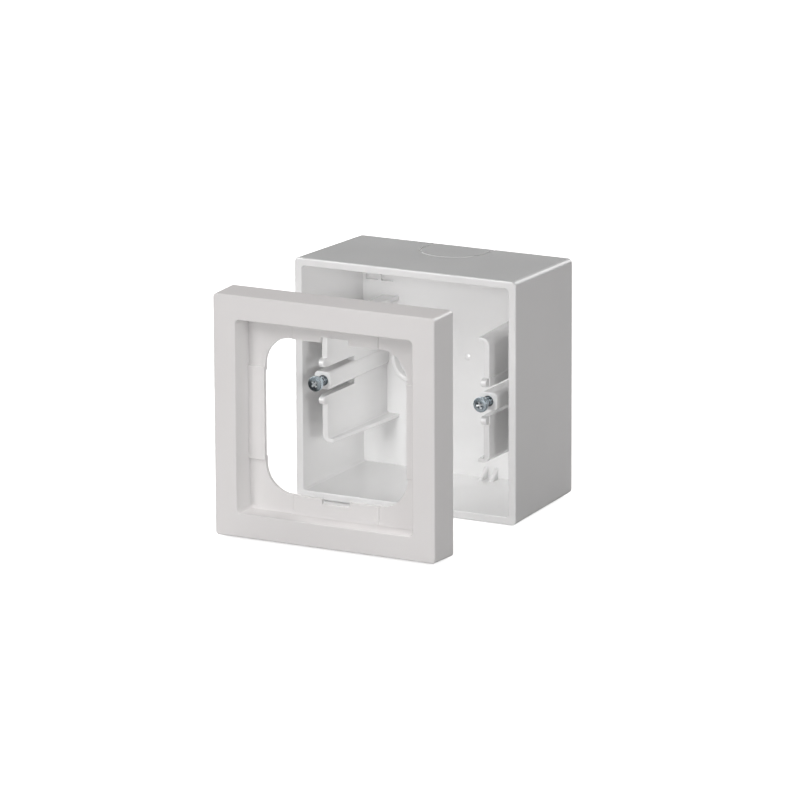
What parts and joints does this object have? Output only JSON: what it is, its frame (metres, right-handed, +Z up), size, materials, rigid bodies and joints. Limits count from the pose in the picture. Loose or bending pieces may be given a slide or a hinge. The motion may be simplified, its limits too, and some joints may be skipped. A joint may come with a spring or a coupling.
{
  "type": "surface mount box",
  "caption": "Square white surface mount box for a wall device: an open moulded housing with screw posts and scored cable knock-outs, and a cover frame that lifts off its front.",
  "frame": {"origin": "middle of the housing's rear face, which lies on the wall", "axes": "+Z up, +X to the right seen from the front, +Y into the wall; the open front looks along -Y"},
  "size_m": [0.08, 0.0963, 0.08],
  "materials": {
    "housing_plastic": "white moulded thermoplastic, satin gloss",
    "frame_plastic": "white moulded thermoplastic, satin gloss",
    "zinc_steel": "zinc-plated steel, bluish"
  },
  "bodies": {
    "housing": {"rear_box": "housing_plastic"},
    "frame": {"front_frame": "frame_plastic"},
    "screw_left": {"device_screw_left": "zinc_steel"},
    "screw_right": {"device_screw_right": "zinc_steel"}
  },
  "joints": [
    {"name": "frame_slide", "type": "slide", "parent": "housing", "child": "frame", "axis": [0, 1, 0], "range_m": [0, 0.0391]},
    {"name": "screw_left_drive", "type": "slide", "parent": "housing", "child": "screw_left", "axis": [0, 1, 0], "range_m": [0, 0.0043]},
    {"name": "screw_right_drive", "type": "slide", "parent": "housing", "child": "screw_right", "axis": [0, 1, 0], "range_m": [0, 0.0043]}
  ]
}
